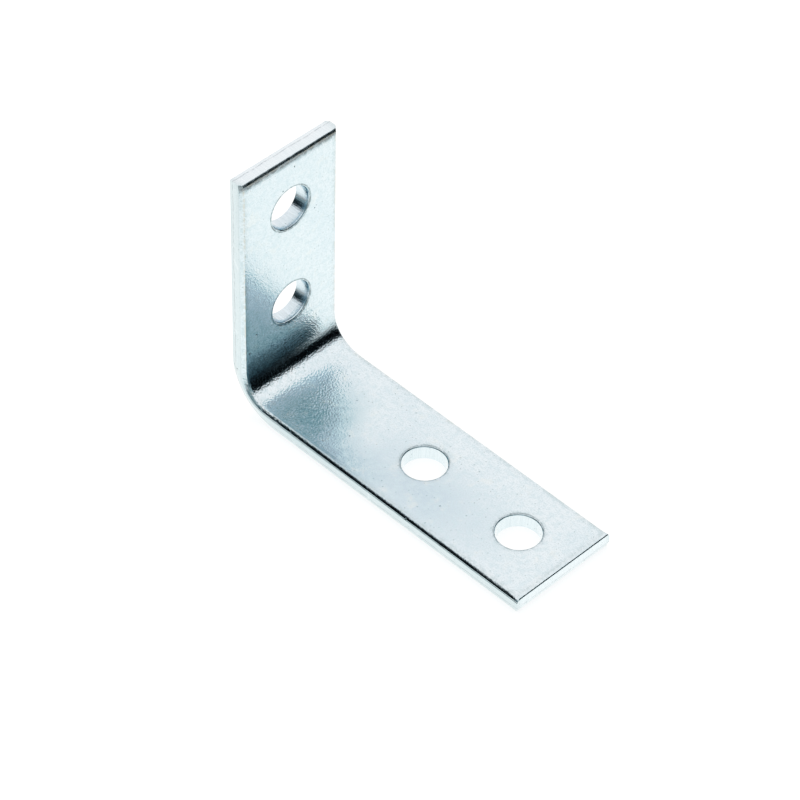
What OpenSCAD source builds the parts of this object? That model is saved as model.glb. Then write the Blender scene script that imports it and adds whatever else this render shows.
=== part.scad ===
// Angle bracket, folded from one length of flat steel strip and pierced with four screw holes.
// The foot lies along X with its end at +X, the upright stands at -X, and the width runs along Y.
// Both inner faces, the foot's top and the upright's +X face, carry the rounded side of every shear.

/* [Strip] */
// Width of the strip, over its widest part
strip_w = 16; // [14:0.5:30]
// Thickness of the strip
strip_t = 2.1; // [1.6:0.1:3]

/* [Legs] */
// Length of the foot, from the upright's back face to the foot's end
foot_l = 49.4; // [44:0.2:80]
// Height of the upright, from the foot's underside to the upright's end
upright_h = 36.7; // [34:0.5:70]

/* [Bend] */
// Inside radius of the bend
bend_inner_r = 3.7; // [1.5:0.1:6]
// How much thinner the strip is at the middle of the bend
bend_thinning = 0.1; // [0:0.05:0.3]
// How far each outer corner is drawn in at the middle of the bend
bend_pinch = 0.3; // [0.1:0.05:0.5]

/* [Screw holes] */
// Diameter of every hole at its straight wall
hole_d = 5.7; // [3:0.1:7]
// Distance between the two holes of the foot
foot_pitch = 16; // [10:0.5:18]
// Distance from the foot's end to the nearest hole's centre
foot_margin = 7.7; // [5:0.2:10]
// Distance between the two holes of the upright
upright_pitch = 15.5; // [10:0.5:17]
// Distance from the upright's end to the nearest hole's centre
upright_margin = 8.2; // [5:0.2:9]

/* [Sheared edges] */
// Radius that the shear leaves round the strip's inner faces
edge_roll_r = 0.5; // [0.1:0.05:0.6]
// Radius that the punch leaves round the mouth of a hole
hole_roll_r = 0.3; // [0.1:0.05:0.6]
// How far the strip's outline slopes away below the straight part of its wall
break_slope = 0.19; // [0.05:0.01:0.3]
// How deep that sloping part is, from the outer face
break_depth = 0.8; // [0.3:0.1:0.9]

/* [Hidden] */
$fn = 96;
zinc = [0.80, 0.84, 0.86];

// The outer bend is rounder than the inner radius and the thickness alone would make it
bend_outer_r = bend_inner_r + strip_t + bend_thinning / (sqrt(2) - 1);
// Height and distance from the back face at which the bend meets the flat legs
leg_start = strip_t + bend_inner_r;
// What the cutting shapes reach past the strip
overrun = 1;
// The wall slopes on at the same rate outside the strip
overrun_slope = break_slope * overrun / break_depth;

// The drawn-in corners are cut by a cone whose centre lies further from the corner than the bend's
pinch_setback = bend_outer_r / 2;
pinch_centre = bend_outer_r + pinch_setback / sqrt(2);
pinch_far = bend_outer_r + pinch_setback;
pinch_near = norm([pinch_centre, pinch_centre - bend_outer_r]);
pinch_rate = bend_pinch / (pinch_far - pinch_near);
pinch_start = pinch_near - break_slope / pinch_rate;

foot_holes = [foot_l - foot_margin, foot_l - foot_margin - foot_pitch];
upright_holes = [upright_h - upright_margin, upright_h - upright_margin - upright_pitch];

// Half of the strip's section: X is the height above the outer face, Y the reach from the centre line
module half_section() {
    side = strip_w / 2;
    polygon([
        [-overrun, 0],
        [-overrun, side - break_slope - overrun_slope],
        [break_depth, side],
        [strip_t - edge_roll_r, side],
        [strip_t - edge_roll_r, side - edge_roll_r],
        [strip_t, side - edge_roll_r],
        [strip_t, 0]
    ]);
    translate([strip_t - edge_roll_r, side - edge_roll_r]) circle(edge_roll_r);
}

module section() {
    half_section();
    mirror([0, 1]) half_section();
}

// The section carried up the upright, round the bend and along the foot
module swept_strip() {
    translate([0, 0, leg_start])
        linear_extrude(upright_h - leg_start + overrun) section();
    translate([leg_start, 0, leg_start]) rotate([90, 0, 0]) rotate([0, 0, 180])
        rotate_extrude(angle = 90) translate([leg_start, 0]) mirror([1, 0]) section();
    translate([leg_start, 0, 0]) rotate([90, 0, 90])
        linear_extrude(foot_l - leg_start + overrun) rotate(90) section();
}

// Side view of everything inside the fold's outer faces, with both ends as the shear left them
module side_outline() {
    foot_edge = foot_l - edge_roll_r;
    upright_edge = upright_h - edge_roll_r;
    inner_edge = strip_t - edge_roll_r;
    difference() {
        union() {
            polygon([
                [0, 0],
                [foot_l - break_slope, 0],
                [foot_l, break_depth],
                [foot_l, inner_edge],
                [foot_edge, inner_edge],
                [foot_edge, upright_edge],
                [inner_edge, upright_edge],
                [inner_edge, upright_h],
                [break_depth, upright_h],
                [0, upright_h - break_slope]
            ]);
            translate([foot_edge, inner_edge]) circle(edge_roll_r);
            translate([inner_edge, upright_edge]) circle(edge_roll_r);
        }
        difference() {
            translate([-overrun, -overrun]) square(bend_outer_r + overrun);
            translate([bend_outer_r, bend_outer_r]) circle(bend_outer_r);
        }
    }
}

// What the punch takes out: a straight wall and a mouth rounded towards the inner face
module punched_hole() {
    bore_r = hole_d / 2;
    mouth_r = bore_r + hole_roll_r;
    mouth_start = strip_t - hole_roll_r;
    rotate_extrude() {
        translate([0, -overrun]) square([bore_r, strip_t + 2 * overrun]);
        difference() {
            translate([0, mouth_start]) square([mouth_r, hole_roll_r + overrun]);
            translate([mouth_r, mouth_start]) circle(hole_roll_r);
        }
    }
}

// The outside of the fold is stretched, so the strip narrows there, most at the middle of the bend
module drawn_in_side() {
    side = strip_w / 2;
    reach = strip_t + overrun;
    translate([pinch_centre, 0, pinch_centre]) rotate([90, 0, 0]) rotate([0, 0, 180])
        rotate_extrude(angle = 90) translate([pinch_start, 0]) polygon([
            [0, side],
            [reach, side - reach * pinch_rate],
            [reach, side + overrun],
            [0, side + overrun]
        ]);
}

module angle_bracket() {
    color(zinc) translate([-foot_l / 2, 0, 0]) difference() {
        intersection() {
            rotate([90, 0, 0]) linear_extrude(strip_w + 2 * overrun, center = true) side_outline();
            swept_strip();
        }
        for (x = foot_holes) translate([x, 0, 0]) punched_hole();
        for (z = upright_holes) translate([0, 0, z]) rotate([0, 90, 0]) punched_hole();
        drawn_in_side();
        mirror([0, 1, 0]) drawn_in_side();
    }
}

angle_bracket();
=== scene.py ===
# %% [markdown]
# The object is a small angle bracket: one length of zinc plated steel strip, pierced with
# four screw holes and folded once.
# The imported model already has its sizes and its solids. Everything made below is built around
# it, in metres and in the same frame, so nothing has to be fitted by eye.

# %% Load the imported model
import math

import bmesh
import bpy
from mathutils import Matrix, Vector, noise


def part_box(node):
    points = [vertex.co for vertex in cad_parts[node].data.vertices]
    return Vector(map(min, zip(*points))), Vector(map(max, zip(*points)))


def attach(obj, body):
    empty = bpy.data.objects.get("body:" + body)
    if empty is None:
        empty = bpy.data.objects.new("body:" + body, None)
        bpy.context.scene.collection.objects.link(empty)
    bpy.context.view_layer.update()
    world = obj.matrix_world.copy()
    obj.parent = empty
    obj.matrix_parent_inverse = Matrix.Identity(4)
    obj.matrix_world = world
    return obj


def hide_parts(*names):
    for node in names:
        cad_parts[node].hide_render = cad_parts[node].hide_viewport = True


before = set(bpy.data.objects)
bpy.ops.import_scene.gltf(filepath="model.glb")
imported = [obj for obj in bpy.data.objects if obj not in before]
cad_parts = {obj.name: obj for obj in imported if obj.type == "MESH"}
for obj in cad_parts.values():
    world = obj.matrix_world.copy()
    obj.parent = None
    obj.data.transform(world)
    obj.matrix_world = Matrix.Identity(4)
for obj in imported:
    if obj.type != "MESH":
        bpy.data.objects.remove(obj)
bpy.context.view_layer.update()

# %% [markdown]
# The press makes this part from a flat blank, in this order: shear the strip to length, punch
# the holes, fold it.
# A box with a boolean for each hole would give the outline, but the fold's soft start and the
# rounded edges that the shear leaves would be missing, and those carry all the reflections.
# So the mesh is made the way the press makes the part: a flat sheet, a thickness, sheared edges,
# and the fold last.

# %% Sizes of the strip
MM = 0.001
NEAR = 0.01 * MM
TINY = 1e-7
NODE = "angle_bracket"

node_low, node_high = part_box(NODE)
strip_width = node_high.y - node_low.y
foot_length = node_high.x - node_low.x
upright_height = node_high.z - node_low.z
back_face_x = node_low.x

thickness = 2.1 * MM
bore_radius = 2.85 * MM
foot_holes = [foot_length - gap for gap in (7.7 * MM, 23.7 * MM)]
upright_holes = [upright_height - gap for gap in (8.2 * MM, 23.7 * MM)]
print("strip", strip_width / MM, "mm wide, foot", foot_length / MM, "mm long")
print("upright", upright_height / MM, "mm high")

# %% [markdown]
# A real fold doesn't jump from straight to round. The strip starts to turn a little before the
# arc and stops a little after it.
# Here the fold is a path along the inner face: its direction turns by 90 degrees over a ramp
# whose two ends are eased, and small steps along that direction give the points.
# An eased path is chosen because the reflection in the bend has soft ends on the upright, which
# a plain arc can't show.

# %% The path of the fold
FOLD_RADIUS = 3.45 * MM
FOLD_EASE = 1.6 * MM
PATH_STEPS = 400

ramp_half = FOLD_RADIUS * math.pi / 4
fold_reach = ramp_half + FOLD_EASE


def ramp_area(s):
    """The ramp from 0 to 1 between -ramp_half and +ramp_half, summed up to s."""
    if s <= -ramp_half:
        return 0.0
    if s >= ramp_half:
        return s
    return (s + ramp_half) ** 2 / (4 * ramp_half)


def turned(s):
    """How far the strip has turned at s, in radians. 0 is the upright and 90 degrees the foot."""
    return math.pi / 2 * (ramp_area(s + FOLD_EASE) - ramp_area(s - FOLD_EASE)) / (2 * FOLD_EASE)


fold_path = [(0.0, 0.0)]
step = fold_reach / PATH_STEPS
for i in range(PATH_STEPS):
    angle = turned((i + 0.5) * step)
    x, z = fold_path[-1]
    fold_path.append((x + step * math.sin(angle), z - step * math.cos(angle)))

# The path is symmetric about the diagonal, and it ends on the foot's top face.
middle = thickness - fold_path[-1][1]
fold_end = middle + fold_path[-1][0]
print("inner face at the middle of the bend", middle / MM, "mm from both outer faces")

# %% Places along the strip


def on_path(s):
    """The inner face's point at s from the bend's middle: reach from the back face, height."""
    reach = abs(s)
    if reach >= fold_reach:
        x, z = fold_end + reach - fold_reach, thickness
    else:
        place = reach / step
        i = min(int(place), PATH_STEPS - 1)
        (x0, z0), (x1, z1) = fold_path[i], fold_path[i + 1]
        x = middle + x0 + (x1 - x0) * (place - i)
        z = middle + z0 + (z1 - z0) * (place - i)
    return (x, z) if s >= 0 else (z, x)


def foot_s(x):
    """Place along the strip of a point of the foot, from its distance to the back face."""
    return x - fold_end + fold_reach


def upright_s(z):
    """Place along the strip of a point of the upright, from its height."""
    return fold_end - fold_reach - z


s_low, s_high = upright_s(upright_height), foot_s(foot_length)
print("flat strip from", s_low / MM, "to", s_high / MM, "mm from the middle of the bend")

# %% [markdown]
# The blank is a single sheet first. Each hole gets a tile: the outline of a grid and a circle
# with the same number of points, joined by a bridge, so the faces run out from the hole in rings.
# The stretch between the tiles, where the fold comes, is a plain grid with narrow rows.
# Rings and rows like these keep every bevel and every reflection smooth.
# A press is never quite true to the strip, so the row of holes drifts a little off the centre
# line.

# %% Tiles of the flat blank
ACROSS = 16
OUTER_RINGS, INNER_RINGS = 3, 8
SAG_RADIUS = 4.3 * MM
DRIFT_AT_TOP, DRIFT_AT_FOOT = 0.06 * MM, 0.22 * MM

blank = bmesh.new()


def hole_centre(s):
    """Centre of a hole at this place along the strip, with the drift of the row."""
    share = (s - s_low) / (s_high - s_low)
    return Vector((s, DRIFT_AT_TOP + share * (DRIFT_AT_FOOT - DRIFT_AT_TOP), 0))


def placed_grid(start, end, rows):
    """A grid over the strip's whole width, between two places along it."""
    made = bmesh.ops.create_grid(blank, x_segments=rows, y_segments=ACROSS, size=0.5)["verts"]
    bmesh.ops.scale(blank, verts=made, vec=(end - start, strip_width, 1))
    bmesh.ops.translate(blank, verts=made, vec=((start + end) / 2, 0, 0))
    return made


def tile_with_hole(start, end, s_hole):
    """A square of the strip whose faces run in rings round a hole."""
    outline = placed_grid(start, end, ACROSS)
    inner = [v for v in outline if not v.is_boundary]
    bmesh.ops.delete(blank, geom=inner, context="VERTS")
    outline = [v for v in outline if v.is_valid]
    centre = hole_centre(s_hole)
    for radius, rings in ((SAG_RADIUS, OUTER_RINGS), (bore_radius, INNER_RINGS)):
        circle = bmesh.ops.create_circle(blank, segments=4 * ACROSS, radius=radius)["verts"]
        bmesh.ops.translate(blank, verts=circle, vec=centre)
        loops = {e for v in outline + circle for e in v.link_edges if len(e.link_faces) < 2}
        rungs = bmesh.ops.bridge_loops(blank, edges=list(loops))["edges"]
        bmesh.ops.subdivide_edges(blank, edges=rungs, cuts=rings - 1, use_grid_fill=True)
        outline = [v for v in blank.verts if abs((v.co - centre).length - radius) < NEAR / 10]


print("each hole's tile has", 4 * ACROSS, "points round it")

# %% The flat blank
BELOW_UPRIGHT_HOLE = 4.6 * MM
BEFORE_FOOT_HOLE = 8 * MM
FOLD_ROWS = 90

upright_split = upright_s((upright_holes[0] + upright_holes[1]) / 2)
upright_tile_end = upright_s(upright_holes[1] - BELOW_UPRIGHT_HOLE)
foot_split = foot_s((foot_holes[0] + foot_holes[1]) / 2)
foot_tile_end = foot_s(foot_holes[1] - BEFORE_FOOT_HOLE)
tile_with_hole(s_low, upright_split, upright_s(upright_holes[0]))
tile_with_hole(upright_split, upright_tile_end, upright_s(upright_holes[1]))
placed_grid(upright_tile_end, foot_tile_end, FOLD_ROWS)
tile_with_hole(foot_tile_end, foot_split, foot_s(foot_holes[1]))
tile_with_hole(foot_split, s_high, foot_s(foot_holes[0]))
bmesh.ops.remove_doubles(blank, verts=blank.verts, dist=NEAR)
bmesh.ops.recalc_face_normals(blank, faces=blank.faces)
if blank.faces[0].normal.z < 0:
    bmesh.ops.reverse_faces(blank, faces=blank.faces)
open_edges = sum(e.is_boundary for e in blank.edges)
print("flat blank:", len(blank.faces), "faces,", open_edges, "edges on its outline")

# %% [markdown]
# Shearing leaves a wall with three parts. The face that the blade pressed on is rounded, the
# middle is cut straight and shiny, and the last part breaks away at a slope.
# Two extrusions give the wall its two bands, and the last band is then moved to its slope. The
# break doesn't start at one depth all round, so its line is moved up and down a little.

# %% Where a point lies on the blank
HOLE_ZONE = 0.7 * MM

hole_stations = [upright_s(z) for z in upright_holes] + [foot_s(x) for x in foot_holes]
hole_places = [hole_centre(s) for s in hole_stations]


def nearest_hole(co):
    """Distance and direction from the nearest hole's centre, in the flat blank."""
    flat = Vector((co.x, co.y, 0))
    away = min((flat - centre for centre in hole_places), key=lambda d: d.length)
    return away.length, away.normalized()


def is_hole_wall(co):
    return nearest_hole(co)[0] < bore_radius + HOLE_ZONE


def is_end(co):
    return co.x > s_high - NEAR or co.x < s_low + NEAR


def outward(co):
    """Which way is out of the metal at a point of the strip's outline."""
    x_side = (co.x > s_high - NEAR) - (co.x < s_low + NEAR)
    y_side = (co.y > strip_width / 2 - NEAR) - (co.y < NEAR - strip_width / 2)
    return Vector((x_side, y_side, 0))


print("holes at", [round(s / MM, 2) for s in hole_stations], "mm from the middle of the bend")

# %% Thickness and the broken part of the walls
BREAK_SLOPE = 0.19 * MM
BREAK_DEPTH = 0.6 * MM
BREAK_WANDER = 0.12 * MM
WANDERS_PER_METRE = 900
WANDER_START = Vector((3, 5, 7))

sheet_faces = list(blank.faces)
made = bmesh.ops.extrude_face_region(blank, geom=sheet_faces, use_keep_orig=True)["geom"]
lower = [g for g in made if isinstance(g, bmesh.types.BMVert)]
bmesh.ops.translate(blank, verts=lower, vec=(0, 0, BREAK_DEPTH - thickness))
lower_faces = [g for g in made if isinstance(g, bmesh.types.BMFace)]
made = bmesh.ops.extrude_face_region(blank, geom=lower_faces)["geom"]
lowest = [g for g in made if isinstance(g, bmesh.types.BMVert)]
bmesh.ops.translate(blank, verts=lowest, vec=(0, 0, -BREAK_DEPTH))
lowest_faces = {g for g in made if isinstance(g, bmesh.types.BMFace)}
bmesh.ops.delete(blank, geom=lower_faces, context="FACES")
bmesh.ops.recalc_face_normals(blank, faces=blank.faces)

for v in lowest:
    if any(f not in lowest_faces for f in v.link_faces) and not is_hole_wall(v.co):
        v.co -= BREAK_SLOPE * outward(v.co)
for v in blank.verts:
    if abs(v.co.z - (BREAK_DEPTH - thickness)) < NEAR and not is_hole_wall(v.co):
        v.co.z += BREAK_WANDER * noise.noise(v.co * WANDERS_PER_METRE + WANDER_START)
closed = all(e.is_manifold for e in blank.edges)
print("blank with thickness:", len(blank.faces), "faces, closed:", closed)

# %% [markdown]
# The pressed edges aren't all alike. The long edges were slit from a wide coil and then handled,
# so they lie between a quarter circle and a chamfer.
# A bevel makes the quarter circle, and its points are then moved onto the real shape.

# %% Rounded long edges
SLIT_WIDTH, SLIT_DEPTH, SLIT_FULLNESS = 0.46 * MM, 0.58 * MM, 1.20
SLIT_SEGMENTS = 10


def pressed_edges(wanted):
    """The sharp edges of the pressed face that are wanted."""
    return [e for e in blank.edges
            if max(abs(v.co.z) for v in e.verts) < TINY and e.calc_face_angle(0) > 1 and wanted(e)]


def bevelled(edges, size, segments):
    bmesh.ops.bevel(blank, geom=edges, offset=size, segments=segments, profile=0.5,
                    affect="EDGES", material=-1)


def on_side(e):
    return all(abs(v.co.y) > strip_width / 2 - NEAR for v in e.verts)


bevelled(pressed_edges(on_side), SLIT_DEPTH, SLIT_SEGMENTS)
for v in blank.verts:
    along, down = strip_width / 2 - abs(v.co.y), -v.co.z
    if along < SLIT_DEPTH + TINY and down < SLIT_DEPTH + TINY:
        angle = math.atan2(max(0.0, SLIT_DEPTH - along), max(0.0, SLIT_DEPTH - down))
        along = SLIT_WIDTH * (1 - math.sin(angle) ** (2 / SLIT_FULLNESS))
        down = SLIT_DEPTH * (1 - math.cos(angle) ** (2 / SLIT_FULLNESS))
        v.co.y = math.copysign(strip_width / 2 - along, v.co.y)
        v.co.z = -down
print("long edges rounded", SLIT_WIDTH / MM, "mm wide and", SLIT_DEPTH / MM, "mm deep")

# %% [markdown]
# The ends are sheared in the press. The blade doesn't part the metal at one width, so their
# rounding is waved a little. The mouths of the holes are rounded by the punch, and in the
# upright they also open out and the face sinks round them.
# Each kind gets a bevel of its own, in the order of the real work. The upright and the foot then
# get their own sizes of it, because they weren't sheared and punched alike.

# %% Rounded mouths and ends
MOUTH, MOUTH_SEGMENTS = 0.30 * MM, 8
FOOT_MOUTH, UPRIGHT_MOUTH = 0.22 * MM, 0.29 * MM
FOOT_OPENING, UPRIGHT_OPENING = 0.05 * MM, 0.20 * MM
FOOT_SAG, UPRIGHT_SAG = 0.015 * MM, 0.04 * MM
END_ROLL, END_SEGMENTS = 0.35 * MM, 8
FOOT_END, UPRIGHT_END = (0.34 * MM, 0.24 * MM), (0.55 * MM, 0.42 * MM)
END_WAVE = 0.10 * MM
WAVES_PER_METRE = 800

bevelled(pressed_edges(lambda e: is_hole_wall(e.verts[0].co)), MOUTH, MOUTH_SEGMENTS)
bevelled(pressed_edges(lambda e: all(is_end(v.co) for v in e.verts)), END_ROLL, END_SEGMENTS)
for v in blank.verts:
    away, direction = nearest_hole(v.co)
    on_foot = v.co.x > 0
    if away < SAG_RADIUS and v.co.z > -MOUTH - TINY:
        sag = FOOT_SAG if on_foot else UPRIGHT_SAG
        lowered = sag * min(1.0, (SAG_RADIUS - away) / (SAG_RADIUS - bore_radius - MOUTH)) ** 2
    else:
        lowered = 0.0
    if bore_radius - TINY < away < bore_radius + MOUTH + TINY:
        size = (FOOT_MOUTH if on_foot else UPRIGHT_MOUTH) / MOUTH
        if v.co.z > -MOUTH - TINY:
            v.co += direction * (away - bore_radius) * (size - 1)
            v.co.z *= size
        share = 1 + v.co.z / thickness
        v.co += direction * (FOOT_OPENING if on_foot else UPRIGHT_OPENING) * share
    elif v.co.z > -SLIT_DEPTH - TINY:
        width, depth = FOOT_END if on_foot else UPRIGHT_END
        gap = s_high - v.co.x if on_foot else v.co.x - s_low
        if gap < END_ROLL + TINY:
            wave_place = Vector((0, v.co.y * WAVES_PER_METRE, 2.0 * on_foot))
            width += END_WAVE * noise.noise(wave_place)
            gap *= width / END_ROLL
            v.co.x = s_high - gap if on_foot else s_low + gap
            if v.co.z > -END_ROLL - TINY:
                v.co.z *= depth / END_ROLL
    v.co.z -= lowered
closed = all(e.is_manifold for e in blank.edges)
print("sheared blank:", len(blank.faces), "faces, closed:", closed)

# %% [markdown]
# Before the fold, each point notes where it lies on the flat blank and which part of the surface
# it belongs to: a wall, its torn part, the line between them, a long side, or metal that the
# press has worked. The finish reads these notes later, so its streaks and its grain lie on the
# strip as they did before the fold and bend with the metal.

# %% Notes for the finish
WALL_START = 0.2 * MM
TORN_BAND = 0.1 * MM
SIDE_BAND = 0.3 * MM
WORKED_REACH = 9 * MM
CROWDED = 0.5
STEEP = 0.5

flat_place = blank.verts.layers.float_vector.new("flat_place")
cut_wall = blank.verts.layers.float.new("cut_wall")
torn_wall = blank.verts.layers.float.new("torn_wall")
worked = blank.verts.layers.float.new("worked")
slit_side = blank.verts.layers.float.new("slit_side")
break_line = blank.verts.layers.float.new("break_line")

for v in blank.verts:
    depth = -v.co.z
    is_wall = any(abs(f.normal.z) < STEEP for f in v.link_faces)
    is_outline = is_wall and not is_hole_wall(v.co)
    v[flat_place] = v.co
    v[cut_wall] = float(is_wall and depth > WALL_START)
    v[torn_wall] = float(is_outline and depth > thickness - TORN_BAND)
    v[slit_side] = float(is_wall and abs(v.co.y) > strip_width / 2 - SIDE_BAND)
    v[break_line] = float(is_outline and abs(depth - (thickness - BREAK_DEPTH)) < BREAK_WANDER)
    v[worked] = max(0.0, 1 - max(0.0, abs(v.co.x) - fold_reach) / WORKED_REACH)
    if abs(v.co.x) < fold_reach:
        v[worked] *= CROWDED + (1 - CROWDED) * (abs(v.co.x) / fold_reach) ** 2
print("points on a sheared wall:", sum(v[cut_wall] > 0 for v in blank.verts))

# %% [markdown]
# Folding stretches the outside of the strip and crowds the inside. At the middle of the bend the
# metal is a little thinner, the outer corners are drawn in and the inner corners swell out.
# Each point goes to its place on the path, and its depth is laid off square to it.

# %% The fold
THINNING = 0.10 * MM
OUTER_PINCH = 0.30 * MM
INNER_SWELL = 0.13 * MM
OUTER_HALF = 0.5

for v in blank.verts:
    s, y, depth = v.co.x, v.co.y, -v.co.z
    angle = turned(s)
    share = (math.sin(angle) + math.cos(angle) - 1) / (math.sqrt(2) - 1)
    deep = depth / thickness
    drawn_in = OUTER_PINCH * max(0.0, (deep - OUTER_HALF) / (1 - OUTER_HALF))
    swollen = INNER_SWELL * (1 - deep)
    depth *= 1 - share * THINNING / thickness
    y *= 1 + share * (swollen - drawn_in) / (strip_width / 2)
    x, z = on_path(s)
    v.co = (back_face_x + x - depth * math.cos(angle), y, z - depth * math.sin(angle))
bmesh.ops.recalc_face_normals(blank, faces=blank.faces)
print("folded:", len(blank.faces), "faces")

# %% [markdown]
# Smooth shading is kept off the crisp edges, and weighted normals keep the large flat faces flat
# beside their narrow bevels, as they are on rolled strip.

# %% The bracket's mesh
CRISP_EDGE = math.radians(35)

for f in blank.faces:
    f.smooth = True
for e in blank.edges:
    e.smooth = e.calc_face_angle(0) < CRISP_EDGE

bracket_mesh = bpy.data.meshes.new("bracket_plate")
blank.to_mesh(bracket_mesh)
blank.free()
bracket = bpy.data.objects.new("bracket_plate", bracket_mesh)
bpy.context.scene.collection.objects.link(bracket)
weighted = bracket.modifiers.new("Weighted Normal", "WEIGHTED_NORMAL")
weighted.keep_sharp = True
print("bracket size", tuple(round(d / MM, 2) for d in bracket.dimensions), "mm")

# %% [markdown]
# A shader is easier to read when each effect is one box with named sockets. These helpers make
# a node with its values, the sums between nodes, and a group with its sockets.

# %% Helpers for shader nodes


def add_node(tree, kind, **values):
    """A node of this kind. A value is a number for a socket, an output to link, or a property."""
    node = tree.nodes.new(kind)
    for name, value in values.items():
        if hasattr(node, name):
            setattr(node, name, value)
            continue
        socket = node.inputs[int(name[1:])] if name[1:].isdigit() else node.inputs[name]
        if isinstance(value, bpy.types.NodeSocket):
            tree.links.new(value, socket)
        else:
            socket.default_value = value
    return node


def maths(tree, operation, a, b=0.0):
    return add_node(tree, "ShaderNodeMath", operation=operation, i0=a, i1=b).outputs[0]


def times(tree, a, b):
    return maths(tree, "MULTIPLY", a, b)


def plus(tree, a, b):
    return maths(tree, "ADD", a, b)


def minus(tree, a, b):
    return maths(tree, "SUBTRACT", a, b)


def spread(tree, value, low, high, to_low=0.0, to_high=1.0):
    """value, stretched so that low to high becomes to_low to to_high, with soft ends."""
    node = add_node(tree, "ShaderNodeMapRange", interpolation_type="SMOOTHSTEP", Value=value)
    limits = {"From Min": low, "From Max": high, "To Min": to_low, "To Max": to_high}
    for name, number in limits.items():
        node.inputs[name].default_value = number
    return node.outputs["Result"]


def mixed(tree, factor, a, b):
    """The number a where factor is 0 and b where it is 1."""
    return add_node(tree, "ShaderNodeMix", i0=factor, i2=a, i3=b).outputs[0]


def blended(tree, factor, a, b):
    """The colour a where factor is 0 and b where it is 1."""
    return add_node(tree, "ShaderNodeMix", data_type="RGBA", i0=factor, i6=a, i7=b).outputs[2]


print("helpers for sums and blends are ready")

# %% Helpers for patterns and groups


def cloudy(tree, where, scale, detail, roughness=0.5):
    """Soft noise from 0 to 1. The scale is in clouds per metre."""
    node = add_node(tree, "ShaderNodeTexNoise", Vector=where, Scale=scale, Detail=detail,
                    Roughness=roughness)
    return node.outputs["Fac"]


def cells(tree, where, scale):
    """A pattern of cells, with the distance from each cell's point and a colour for each cell."""
    return add_node(tree, "ShaderNodeTexVoronoi", Vector=where, Scale=scale, Randomness=1.0)


def stretched(tree, where, scale, turn=0.0, shift=0.0):
    """A place with its own scale along each axis, so that a noise on it is drawn out."""
    node = add_node(tree, "ShaderNodeMapping", vector_type="POINT", Vector=where, Scale=scale,
                    Rotation=(0, 0, turn), Location=(shift, shift, 0))
    return node.outputs["Vector"]


def new_group(name, inputs, outputs):
    """An empty node group with named sockets, its Group Input and its Group Output."""
    group = bpy.data.node_groups.new(name, "ShaderNodeTree")
    for direction, sockets in (("INPUT", inputs), ("OUTPUT", outputs)):
        for socket_name, kind, value in sockets:
            socket = group.interface.new_socket(
                name=socket_name, in_out=direction, socket_type="NodeSocket" + kind)
            if value is not None:
                socket.default_value = value
    return group, group.nodes.new("NodeGroupInput"), group.nodes.new("NodeGroupOutput")


print("helpers for patterns and groups are ready")

# %% [markdown]
# Zinc is plated from a bath, and rolled strip has a skin like orange peel under it. Beside the
# fold the press has stretched the metal, and there the skin opens up and gets coarser. Inside the
# bend it is crowded, so it stays smoother.
# Three sizes of noise make it: a slow swell of about 4 mm, the peel itself at a quarter of a
# millimetre and a fine tooth at half of that.

# %% Orange peel group
SWELL_SCALE, SWELL_HEIGHT = 260.0, 0.8
DIMPLE_SCALE, DIMPLE_HEIGHT, DIMPLE_WORKED = 3900.0, 0.30, 0.75
TOOTH_SCALE, TOOTH_HEIGHT = 7000.0, 0.08

peel, peel_in, peel_out = new_group(
    "orange_peel",
    [("Place", "Vector", None), ("Worked", "Float", 0.0), ("Strength", "Float", 1.0)],
    [("Height", "Float", None)],
)
skin = peel_in.outputs["Place"]
swell = times(peel, cloudy(peel, skin, SWELL_SCALE, 1.0), SWELL_HEIGHT)
coarse = plus(peel, times(peel, peel_in.outputs["Worked"], DIMPLE_WORKED), DIMPLE_HEIGHT)
dimples = times(peel, cloudy(peel, skin, DIMPLE_SCALE, 1.0), coarse)
tooth = times(peel, cloudy(peel, skin, TOOTH_SCALE, 1.0), TOOTH_HEIGHT)
total = plus(peel, plus(peel, dimples, tooth), swell)
peel.links.new(times(peel, total, peel_in.outputs["Strength"]), peel_out.inputs["Height"])
print("group", peel.name, "has", len(peel.nodes), "nodes")

# %% [markdown]
# Small things tell a real plated part from a clean model: a few dark pinholes, a dust of tiny
# spots, and hair lines from the bin where hundreds of brackets rub on each other.
# Pinholes and dust are cells of a Voronoi pattern, because each cell can be kept or left out. Hair
# lines are the places where a noise that is drawn out in one direction passes its middle value.

# %% Specks and hair lines group
PIT_SCALE, PIT_SIZE = 620.0, (0.02, 0.11)
PIT_CHOICE_SCALE, PIT_KEPT = 420.0, (0.52, 0.62)
DUST_SCALE, DUST_SIZE, DUST_KEPT = 2300.0, (0.08, 0.24), (0.55, 1.0)
HAIR_STRETCH, HAIR_WIDTH, HAIR_KEPT = (60, 2600, 60), 0.012, (0.60, 0.68)
HAIR_TURNS = ((0.5, 1.0), (-0.9, 4.0), (2.1, 9.0))

marks, marks_in, marks_out = new_group(
    "specks_and_hair_lines",
    [("Place", "Vector", None)],
    [("Specks", "Float", None), ("Dust", "Float", None), ("Lines", "Float", None)],
)
spot = marks_in.outputs["Place"]

pits = cells(marks, spot, PIT_SCALE)
pit_spots = spread(marks, pits.outputs["Distance"], *PIT_SIZE, 1.0, 0.0)
pit_kept = spread(marks, cloudy(marks, spot, PIT_CHOICE_SCALE, 0.0), *PIT_KEPT)
marks.links.new(times(marks, pit_spots, pit_kept), marks_out.inputs["Specks"])

dust = cells(marks, spot, DUST_SCALE)
dust_spots = spread(marks, dust.outputs["Distance"], *DUST_SIZE, 1.0, 0.0)
dust_colour = add_node(marks, "ShaderNodeSeparateColor", Color=dust.outputs["Color"])
dust_kept = spread(marks, dust_colour.outputs["Red"], *DUST_KEPT)
marks.links.new(times(marks, dust_spots, dust_kept), marks_out.inputs["Dust"])

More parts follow.
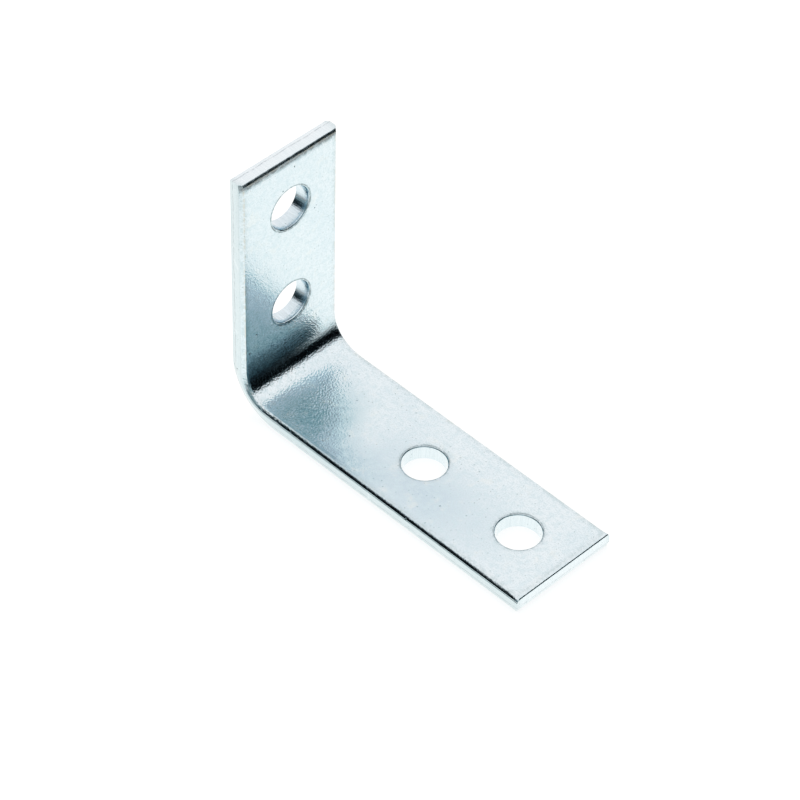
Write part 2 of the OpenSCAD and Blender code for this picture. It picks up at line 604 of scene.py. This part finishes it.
hairs = None
for turn, seed in HAIR_TURNS:
    drawn = cloudy(marks, stretched(marks, spot, HAIR_STRETCH, turn, seed), 1.0, 0.0)
    off_middle = maths(marks, "ABSOLUTE", minus(marks, drawn, 0.5))
    hair = spread(marks, off_middle, 0.0, HAIR_WIDTH, 1.0, 0.0)
    scratched = cloudy(marks, spot, 190.0 + 40 * seed, 0.0)
    hair = times(marks, hair, spread(marks, scratched, *HAIR_KEPT))
    hairs = hair if hairs is None else maths(marks, "MAXIMUM", hairs, hair)
marks.links.new(hairs, marks_out.inputs["Lines"])
print("group", marks.name, "has", len(marks.nodes), "nodes")

# %% [markdown]
# Edges are where a part is touched, rubbed and washed, and a shade is painted beside the upright's
# end. The finish needs to know how far each point is from the strip's outline, from the upright's
# end and from the nearest hole's wall. All three come from the flat place, and the group gives
# them in millimetres.

# %% Distance from the edges group
edges, edges_in, edges_out = new_group(
    "distance_from_edges",
    [("Place", "Vector", None)],
    [("Outline", "Float", None), ("Top", "Float", None), ("Mouth", "Float", None)],
)
at = add_node(edges, "ShaderNodeSeparateXYZ", Vector=edges_in.outputs["Place"])
from_side = minus(edges, strip_width / 2, maths(edges, "ABSOLUTE", at.outputs["Y"]))
from_foot_end = minus(edges, s_high, at.outputs["X"])
from_upright_end = minus(edges, at.outputs["X"], s_low)
from_ends = maths(edges, "MINIMUM", from_foot_end, from_upright_end)
from_outline = maths(edges, "MINIMUM", from_side, from_ends)

flat_point = add_node(edges, "ShaderNodeCombineXYZ", X=at.outputs["X"], Y=at.outputs["Y"])
from_centre = None
for centre in hole_places:
    gap = add_node(edges, "ShaderNodeVectorMath", operation="DISTANCE",
                   i0=flat_point.outputs["Vector"], i1=centre).outputs["Value"]
    from_centre = gap if from_centre is None else maths(edges, "MINIMUM", from_centre, gap)
from_wall = minus(edges, from_centre, bore_radius)

distances = {"Outline": from_outline, "Top": from_upright_end, "Mouth": from_wall}
for name, distance in distances.items():
    edges.links.new(maths(edges, "DIVIDE", distance, MM), edges_out.inputs[name])
print("group", edges.name, "has", len(edges.nodes), "nodes")

# %% [markdown]
# A punched or sheared wall has fine streaks that run through the thickness, from the edge of the
# tool. The long sides came off the slitter, and their streaks run along the strip instead.
# The noise is squeezed in one direction and drawn out in the other, which the flat place of each
# point makes easy.

# %% Shear streaks group
THROUGH_THE_WALL = (7500, 7500, 260)
ALONG_THE_SIDE = (300, 4000, 5500)

streaks, streaks_in, streaks_out = new_group(
    "shear_streaks",
    [("Place", "Vector", None), ("Along", "Float", 0.0)],
    [("Streaks", "Float", None)],
)
through, along = (
    cloudy(streaks, stretched(streaks, streaks_in.outputs["Place"], scale), 1.0, 2.0)
    for scale in (THROUGH_THE_WALL, ALONG_THE_SIDE)
)
drawn = mixed(streaks, streaks_in.outputs["Along"], through, along)
streaks.links.new(drawn, streaks_out.inputs["Streaks"])
print("group", streaks.name, "has", len(streaks.nodes), "nodes")

# %% [markdown]
# Bright zinc with a thin clear passivation is a cool blue grey. It is a metal all over, so one
# metallic shader carries it, and the groups above give that shader its values. The material
# starts with the notes of the mesh and one copy of each group.

# %% Zinc plate: the shader, the notes and the groups
zinc = bpy.data.materials.new("zinc_plate")
zinc.use_nodes = True
tree = zinc.node_tree
tree.nodes.clear()
surface = tree.nodes.new("ShaderNodeOutputMaterial")
metal = add_node(tree, "ShaderNodeBsdfPrincipled", Metallic=1.0)
tree.links.new(metal.outputs["BSDF"], surface.inputs["Surface"])


def note(name):
    """What the points of the mesh noted under this name."""
    return add_node(tree, "ShaderNodeAttribute", attribute_type="GEOMETRY", attribute_name=name)


def use_group(group, **links):
    """A copy of the group in this material, with its inputs linked."""
    node = add_node(tree, "ShaderNodeGroup", node_tree=group)
    for name, value in links.items():
        tree.links.new(value, node.inputs[name])
    return node


place = note("flat_place").outputs["Vector"]
cut, torn, near_bend, slit, broken = (
    note(name).outputs["Fac"]
    for name in ("cut_wall", "torn_wall", "worked", "slit_side", "break_line")
)
peel_height = use_group(peel, Place=place, Worked=near_bend)
marks_node = use_group(marks, Place=place)
streaky = use_group(streaks, Place=place, Along=slit).outputs["Streaks"]
edges_node = use_group(edges, Place=place)
off_outline, off_top, off_mouth = (edges_node.outputs[name] for name in distances)
print("zinc plate starts with", len(tree.nodes), "nodes")

# %% [markdown]
# As a metal, the base colour is what the zinc reflects, so two reflections in a row look clearly
# teal. That is why the colour is bluer than it looks and the light is a little warm: one
# reflection comes out near white, and two come out teal.
# The plate is never one tone. Clouds, stains, mottle and grain of four sizes go over it, and the
# foot has three patches of painted shade where its reflection is darker.

# %% Zinc plate: tones of the faces and painted shade
ZINC_TONES = (0.555, 0.690, 0.752, 1), (0.592, 0.722, 0.778, 1)
PATCH_DEPTH = 6 * MM
PATCH_RAGGED = 0.4
# Each patch of painted shade: place along the foot from its inner hole and across it, reach along
# and across in millimetres, amount and tone.
PAINTED_SHADE_PATCHES = (
    (3, -3.5, 15, 8, 0.95, (0.445, 0.575, 0.650, 1)),
    (-14.5, -4, 6.5, 8.5, 1.0, (0.32, 0.48, 0.54, 1)),
    (-8, -7, 9, 4.5, 0.8, (0.36, 0.50, 0.57, 1)),
)

# Four patterns, from clouds of 8 mm to a grain of a fifth of a millimetre.
cloud = cloudy(tree, place, 130.0, 3.0, 0.55)
stain = cloudy(tree, place, 420.0, 3.0, 0.6)
mottle = cloudy(tree, place, 1300.0, 4.0, 0.7)
grain = cloudy(tree, place, 5200.0, 1.0)
# Each layer: its pattern, where in the pattern it starts and is full, its amount and tone.
LAYERS = (
    (mottle, 0.42, 0.62, 0.60, (0.49, 0.640, 0.700, 1)),
    (grain, 0.42, 0.66, 0.30, (0.45, 0.565, 0.600, 1)),
    (stain, 0.56, 0.72, 0.22, (0.65, 0.715, 0.680, 1)),
)

colour = blended(tree, spread(tree, cloud, 0.35, 0.65), *ZINC_TONES)
ragged = times(tree, minus(tree, stain, 0.5), PATCH_RAGGED)
# Painted shade: each patch darkens the foot's colour towards its tone, most at its centre.
for x, y, reach_x, reach_y, amount, tone in PAINTED_SHADE_PATCHES:
    centre = Vector((foot_s(foot_holes[1] + x * MM), y * MM, 0))
    reach = Vector((reach_x * MM, reach_y * MM, PATCH_DEPTH))
    offset = add_node(tree, "ShaderNodeVectorMath", operation="SUBTRACT", i0=place, i1=centre)
    offset = add_node(tree, "ShaderNodeVectorMath", operation="DIVIDE",
                      i0=offset.outputs[0], i1=reach)
    away = add_node(tree, "ShaderNodeVectorMath", operation="LENGTH", i0=offset.outputs[0])
    away = plus(tree, away.outputs["Value"], ragged)
    colour = blended(tree, spread(tree, away, 0.0, 1.15, amount, 0.0), colour, tone)
for pattern, start, full, amount, tone in LAYERS:
    colour = blended(tree, spread(tree, pattern, start, full, 0.0, amount), colour, tone)
print("faces:", len(PAINTED_SHADE_PATCHES), "dull patches and", len(LAYERS), "layers over them")

# %% [markdown]
# A sheared wall is rawer metal than the rolled face, and its streaks show as light and dark. The
# walls of the upright's holes are the darkest, and the long sides are greyer.
# The break line is where the cut part of a wall meets the torn part. Its note is 1 at the line's
# points only, so a high power of it gives a thin line.

# %% Zinc plate: tones of the walls
WALL_TONE = (0.63, 0.75, 0.80, 1)
HOLE_TONE = (0.56, 0.69, 0.76, 1)
STREAK_TONE = (0.50, 0.62, 0.68, 1)
SIDE_TONE = (0.43, 0.545, 0.575, 1)
BREAK_TONE = (0.20, 0.22, 0.25, 1)
STREAKS_ELSEWHERE = 0.4
SIDE_AMOUNT = 0.60
WALL_AMOUNT = 0.8
LINE_POWER = 14.0
# A point this many millimetres from a hole's wall is past the mouth.
PAST_MOUTH = (0.6, 0.8)

along_strip = add_node(tree, "ShaderNodeSeparateXYZ", Vector=place).outputs["X"]
in_foot = spread(tree, along_strip, -MM, MM)
in_hole = spread(tree, off_mouth, *PAST_MOUTH, 1.0, 0.0)
in_upright_hole = times(tree, minus(tree, 1.0, in_foot), in_hole)
streak_amount = times(tree, in_upright_hole, 1 - STREAKS_ELSEWHERE)
streak_amount = plus(tree, streak_amount, STREAKS_ELSEWHERE)
streak_amount = times(tree, spread(tree, streaky, 0.36, 0.64), streak_amount)
wall_colour = blended(tree, in_upright_hole, WALL_TONE, HOLE_TONE)
wall_colour = blended(tree, streak_amount, wall_colour, STREAK_TONE)
wall_colour = blended(tree, times(tree, slit, SIDE_AMOUNT), wall_colour, SIDE_TONE)
colour = blended(tree, times(tree, cut, WALL_AMOUNT), colour, wall_colour)

line = maths(tree, "POWER", broken, LINE_POWER)
line = times(tree, line, spread(tree, mottle, 0.35, 0.55, 0.1, 0.6))
colour = blended(tree, line, colour, BREAK_TONE)
print("walls: full streaks in the upright's holes,", STREAKS_ELSEWHERE, "of that elsewhere")

# %% [markdown]
# Along every edge and round every hole's mouth the plate is a little darker. Under the upright's
# end a grey shade is painted on the face, fading over about a millimetre. A thin dark ring lies
# where each hole's mouth meets the face, and a pale line where the long edges have been rubbed.
# All of them are bands of the distance from an edge, broken up by the mottle.

# %% Zinc plate: painted shade and traces along the edges
HALO_TONE = (0.34, 0.42, 0.44, 1)
SHADE_TONE = (0.20, 0.25, 0.27, 1)
RING_TONE = (0.14, 0.17, 0.18, 1)
RUBBED_TONE = (0.56, 0.60, 0.56, 1)
# Bands of distance in millimetres. Each goes from one value to the other.
OUTLINE_HALO, MOUTH_HALO, ON_ROUNDING = (0.3, 1.3), (0.2, 0.9), (0.34, 0.52)
TOP_SHADE = (0.60, 1.55)
RUBBED_IN, RUBBED_OUT, RUBBED_FADE = (0.26, 0.44), (0.46, 0.70), (24.0, 32.0)
RING_RISE, RING_FLAT, RING_FALL = 0.16, 0.02, 0.14
UPRIGHT_RING, FOOT_RING = (0.46, 0.70), (0.24, 0.35)

on_face = minus(tree, 1.0, cut)
near_outline = spread(tree, off_outline, *OUTLINE_HALO, 0.40, 0.0)
near_mouth = spread(tree, off_mouth, *MOUTH_HALO, 0.35, 0.0)
halo = maths(tree, "MAXIMUM", near_outline, near_mouth)
halo = times(tree, halo, spread(tree, mottle, 0.38, 0.60, 0.25, 1.0))
halo = times(tree, halo, spread(tree, off_outline, *ON_ROUNDING, 0.3, 1.0))
colour = blended(tree, times(tree, halo, on_face), colour, HALO_TONE)

# Painted shade: a grey band on the face under the upright's end, broken up by the mottle.
shade = spread(tree, off_top, *TOP_SHADE, 0.85, 0.0)
shade = times(tree, shade, spread(tree, mottle, 0.36, 0.60, 0.45, 1.0))
colour = blended(tree, times(tree, shade, on_face), colour, SHADE_TONE)


def ring(distance, amount):
    """A thin ring round each hole, at this distance in millimetres from its wall."""
    rising = spread(tree, off_mouth, distance - RING_RISE, distance - RING_FLAT)
    falling = spread(tree, off_mouth, distance + RING_FLAT, distance + RING_FALL, 1.0, 0.0)
    return times(tree, times(tree, rising, falling), amount)


rings = mixed(tree, in_foot, ring(*UPRIGHT_RING), ring(*FOOT_RING))
rings = times(tree, rings, spread(tree, mottle, 0.38, 0.56, 0.35, 1.0))
colour = blended(tree, rings, colour, RING_TONE)

rubbed = spread(tree, off_outline, *RUBBED_IN)
rubbed = times(tree, rubbed, spread(tree, off_outline, *RUBBED_OUT, 1.0, 0.0))
rubbed = times(tree, rubbed, spread(tree, mottle, 0.40, 0.58, 0.0, 0.65))
rubbed = times(tree, rubbed, spread(tree, off_top, *RUBBED_FADE, 1.0, 0.15))
colour = blended(tree, rubbed, colour, RUBBED_TONE)
print("edges: halo, shade, rings and rubbed line")

# %% [markdown]
# The marks come last, because they lie on everything else. Gloss follows: the clouds change it a
# little, torn metal and pinholes are duller, and the rolled end of the upright is frosted, which
# softens the dark line that it mirrors.

# %% Zinc plate: marks and gloss
MARKS = (
    ("Dust", 0.60, (0.20, 0.27, 0.26, 1)),
    ("Specks", 0.55, (0.18, 0.22, 0.22, 1)),
    ("Lines", 0.30, (0.66, 0.78, 0.82, 1)),
)
GLOSS_FROM, GLOSS_TO = 0.19, 0.23
TORN_ROUGHER, SPECKS_ROUGHER = 0.22, 0.2
FROSTED, FROSTED_BAND = 0.20, (0.6, 1.2)

for name, amount, tone in MARKS:
    colour = blended(tree, times(tree, marks_node.outputs[name], amount), colour, tone)
tree.links.new(colour, metal.inputs["Base Color"])

gloss = spread(tree, cloud, 0.3, 0.7, GLOSS_FROM, GLOSS_TO)
gloss = plus(tree, gloss, times(tree, torn, TORN_ROUGHER))
gloss = plus(tree, gloss, times(tree, marks_node.outputs["Specks"], SPECKS_ROUGHER))
frosted = times(tree, spread(tree, off_top, *FROSTED_BAND, FROSTED, 0.0), on_face)
gloss = plus(tree, gloss, frosted)
tree.links.new(gloss, metal.inputs["Roughness"])
print("roughness from", GLOSS_FROM, "on the faces")

# %% [markdown]
# The relief is far too fine for the mesh, a few hundredths of a millimetre, so a bump carries it.
# It is the orange peel, less of it on the walls, with the pinholes sunk in and the streaks of
# the walls as ridges.

# %% Zinc plate: relief
PEEL_OFF_WALLS = 0.7
PIT_DEPTH = -0.5
RIDGES_IN_HOLES, RIDGES_OUTSIDE = 0.26, 0.12
RELIEF_DEPTH = 0.06 * MM

peel_strength = minus(tree, 1.0, times(tree, cut, PEEL_OFF_WALLS))
tree.links.new(peel_strength, peel_height.inputs["Strength"])
pits = times(tree, marks_node.outputs["Specks"], PIT_DEPTH)
ridge_height = spread(tree, off_mouth, *PAST_MOUTH, RIDGES_IN_HOLES, RIDGES_OUTSIDE)
ridges = times(tree, minus(tree, streaky, 0.5), ridge_height)
relief = plus(tree, peel_height.outputs["Height"], pits)
relief = plus(tree, relief, times(tree, cut, ridges))
bump = add_node(tree, "ShaderNodeBump", Height=relief, Strength=1.0, Distance=RELIEF_DEPTH)
tree.links.new(bump.outputs["Normal"], metal.inputs["Normal"])
bracket_mesh.materials.append(zinc)
print("zinc plate has", len(tree.nodes), "nodes")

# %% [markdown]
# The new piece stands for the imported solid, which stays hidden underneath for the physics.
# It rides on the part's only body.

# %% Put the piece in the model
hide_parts(NODE)
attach(bracket, "root")
print("piece", bracket.name, "stands for", NODE)

# %% [markdown]
# Metal shows what is around it more than it shows light. A white table that is lit as brightly as
# the softbox comes out as even as the one in the photograph, and it can be made as a table that
# glows. It glows less at a grazing look, as a lit table does, and less beyond the foot's end,
# where the black band of the fold finds its dark.
# The part sees a warmer table than the camera does, for the same reason as the zinc's colour.

# %% Table top
FLOOR_SIZE = 0.24
TABLE_GREY = (0.24, 0.24, 0.24, 1)
TABLE_ROUGHNESS = 0.15

floor_mesh = bpy.data.meshes.new("table_top")
table = bmesh.new()
bmesh.ops.create_grid(table, x_segments=1, y_segments=1, size=FLOOR_SIZE / 2)
table.to_mesh(floor_mesh)
table.free()
floor = bpy.data.objects.new("table_top", floor_mesh)
bpy.context.scene.collection.objects.link(floor)

white = bpy.data.materials.new("lit_white_table")
white.use_nodes = True
lamp = white.node_tree
white_shader = lamp.nodes["Principled BSDF"]
white_shader.inputs["Base Color"].default_value = TABLE_GREY
white_shader.inputs["Roughness"].default_value = TABLE_ROUGHNESS
floor_mesh.materials.append(white)
print("table", FLOOR_SIZE, "m wide")

# %% The table's glow
GLOW_IN_METAL, GLOW_SEEN = 1.36, 0.74
TABLE_IOR = 1.6
GRAZING_FILL = 0.8
DIM_ALONG, DIM_ACROSS, DIM_AMOUNT = (0.0268, 0.038), (-0.006, 0.008), 0.97
NEAR_FADE, NEAR_FADE_LEFT = (-0.11, -0.02), 0.3
TINT_IN_METAL, TINT_SEEN = (0.95, 0.885, 0.845, 1), (0.96, 1.0, 1.01, 1)

grazing = add_node(lamp, "ShaderNodeFresnel", IOR=TABLE_IOR).outputs["Fac"]
clear = minus(lamp, 1.0, grazing)
table_place = add_node(lamp, "ShaderNodeNewGeometry").outputs["Position"]
table_place = add_node(lamp, "ShaderNodeSeparateXYZ", Vector=table_place)
along_table, across_table = table_place.outputs["X"], table_place.outputs["Y"]
dim = spread(lamp, along_table, *DIM_ALONG, 0.0, DIM_AMOUNT)
dim = times(lamp, dim, spread(lamp, across_table, *DIM_ACROSS))
pool = minus(lamp, 1.0, dim)
pool = times(lamp, pool, spread(lamp, across_table, *NEAR_FADE, NEAR_FADE_LEFT, 1.0))
in_metal = times(lamp, times(lamp, times(lamp, clear, clear), GLOW_IN_METAL), pool)
plain = plus(lamp, times(lamp, grazing, GRAZING_FILL), GLOW_SEEN)
seen = add_node(lamp, "ShaderNodeLightPath").outputs["Is Camera Ray"]
strength = mixed(lamp, seen, in_metal, plain)
tint = blended(lamp, seen, TINT_IN_METAL, TINT_SEEN)
lamp.links.new(strength, white_shader.inputs["Emission Strength"])
lamp.links.new(tint, white_shader.inputs["Emission Color"])
print("the table glows", GLOW_IN_METAL, "in the metal and", GLOW_SEEN, "in the camera")

# %% [markdown]
# The light is one wide softbox overhead. Its right and near edges are what the part mirrors as
# the ends of its bright zones, and it has no far or left edge, because nothing in the photograph
# shows one. A paler strip low on the near side and one low on the right keep the part's sides
# from going black when it is looked at from there, and so does the light below the horizon,
# behind the part.
# All of it is painted into the world by direction instead of hung as cards, so nothing can get
# in the way when the part is looked at from another side.

# %% Softbox overhead
RIGHT_EDGE, RIGHT_SOFT = 1.15, 0.05
NEAR_EDGE, NEAR_SOFT = -1.6, 0.4
HORIZON, BEHIND, BELOW_AMOUNT = (-0.02, 0.0), (-0.2, 0.6), 0.75
LEAST_HEIGHT = 0.001

world = bpy.data.worlds.new("studio")
bpy.context.scene.world = world
world.use_nodes = True
sky = world.node_tree
sky.nodes.clear()
sky_out = sky.nodes.new("ShaderNodeOutputWorld")
background = sky.nodes.new("ShaderNodeBackground")
sky.links.new(background.outputs["Background"], sky_out.inputs["Surface"])
direction = sky.nodes.new("ShaderNodeTexCoord").outputs["Generated"]
parts = add_node(sky, "ShaderNodeSeparateXYZ", Vector=direction)
to_right, to_far, to_top = (parts.outputs[axis] for axis in "XYZ")

height = maths(sky, "MAXIMUM", to_top, LEAST_HEIGHT)
over_x = maths(sky, "DIVIDE", to_right, height)
over_y = maths(sky, "DIVIDE", to_far, height)
inside = spread(sky, over_x, RIGHT_EDGE - RIGHT_SOFT, RIGHT_EDGE + RIGHT_SOFT, 1.0, 0.0)
inside = times(sky, inside, spread(sky, over_y, NEAR_EDGE - NEAR_SOFT, NEAR_EDGE + NEAR_SOFT))
behind = spread(sky, minus(sky, to_far, to_right), *BEHIND)
below = spread(sky, to_top, *HORIZON, 1.0, 0.0)
below = times(sky, times(sky, below, behind), BELOW_AMOUNT)
inside = maths(sky, "MAXIMUM", inside, below)
print("softbox up to", RIGHT_EDGE, "m to the right per metre of height")
print("and up to", -NEAR_EDGE, "m to the near side")

# %% Pale strips and the colours of the light
SOFTBOX = 1.36
SOFTBOX_COLOUR = (SOFTBOX * 1.02, SOFTBOX * 0.90, SOFTBOX * 0.868, 1)
DARK_ROOM, PALE_STRIP = (0.012, 0.014, 0.016, 1), (0.95, 1.0, 1.0, 1)
BACKDROP = (1.5, 1.5, 1.5, 1)
NEAR_STRIP, NEAR_STRIP_HEIGHT, NEAR_STRIP_AMOUNT = (-0.7, -0.3), (-0.32, 0.20), 0.80
SIDE_STRIP, SIDE_STRIP_FAR_END = (-0.40, -0.05), (0.10, 0.38)
SIDE_STRIP_HEIGHT, SIDE_STRIP_AMOUNTS = (-0.5, 0.8), (0.30, 0.65)

near_light = spread(sky, to_top, *NEAR_STRIP_HEIGHT, NEAR_STRIP_AMOUNT, 0.0)
near_light = times(sky, near_light, spread(sky, to_far, *NEAR_STRIP, 1.0, 0.0))
side_light = spread(sky, to_right, *SIDE_STRIP)
side_light = times(sky, side_light, spread(sky, to_far, *SIDE_STRIP_FAR_END, 1.0, 0.0))
side_height = spread(sky, to_top, *SIDE_STRIP_HEIGHT, *SIDE_STRIP_AMOUNTS)
side_light = times(sky, side_light, side_height)
strips = maths(sky, "MAXIMUM", near_light, side_light)

sky_colour = blended(sky, inside, blended(sky, strips, DARK_ROOM, PALE_STRIP), SOFTBOX_COLOUR)
seen = sky.nodes.new("ShaderNodeLightPath").outputs["Is Camera Ray"]
sky.links.new(blended(sky, seen, sky_colour, BACKDROP), background.inputs["Color"])
print("softbox of strength", SOFTBOX, "in a world with", len(sky.nodes), "nodes")

# %% [markdown]
# A product photograph is developed with deep shadows and clean whites. The same curve for all
# three colours does that here, after the light is summed.

# %% Tone curve
TONES = ((0.05, 0.006), (0.1, 0.028), (0.2, 0.110), (0.35, 0.28), (0.5, 0.435), (0.65, 0.635),
         (0.8, 0.81))
ALL_COLOURS = 3

look = bpy.context.scene.view_settings
look.view_transform = "Standard"
look.use_curve_mapping = True
curve = look.curve_mapping.curves[ALL_COLOURS]
for light, shown in TONES:
    curve.points.new(light, shown)
look.curve_mapping.update()
print("tone curve with", len(curve.points), "points")

# %% [markdown]
# The camera looks down on the part from its near right. Its direction, distance and lens come
# from fitting a pinhole camera to the edges and holes of the bracket in the photograph.

# %% Camera
AZIMUTH, ELEVATION, ROLL = (math.radians(a) for a in (44.3444, 44.6385, 1.482))
DISTANCE = 448.67 * MM
AIM = Vector((back_face_x + 20 * MM, 0, 14 * MM))
AIM_RIGHT, AIM_UP = 0.8956 * MM, -3.6142 * MM
FOCAL_PIXELS, IMAGE_PIXELS, SENSOR = 3714.06, 800, 36.0
NEAREST, FARTHEST = 0.01, 20

backward = Vector((
    math.sin(AZIMUTH) * math.cos(ELEVATION),
    -math.cos(AZIMUTH) * math.cos(ELEVATION),
    math.sin(ELEVATION),
))
level_right = Vector((math.cos(AZIMUTH), math.sin(AZIMUTH), 0))
level_up = backward.cross(level_right)
right = math.cos(ROLL) * level_right + math.sin(ROLL) * level_up
up = math.cos(ROLL) * level_up - math.sin(ROLL) * level_right

camera_data = bpy.data.cameras.new("camera")
camera_data.sensor_width = SENSOR
camera_data.lens = FOCAL_PIXELS * SENSOR / IMAGE_PIXELS
camera_data.clip_start = NEAREST
camera_data.clip_end = FARTHEST
camera = bpy.data.objects.new("camera", camera_data)
bpy.context.scene.collection.objects.link(camera)
facing = camera.matrix_world.to_3x3()
for row in range(3):
    facing[row] = (right[row], up[row], backward[row])
camera.matrix_world = facing.to_4x4()
camera.location = AIM + AIM_RIGHT * right + AIM_UP * up + DISTANCE * backward
bpy.context.scene.camera = camera
print("camera at", tuple(round(c, 4) for c in camera.location))
print("lens", round(camera_data.lens, 1), "mm")
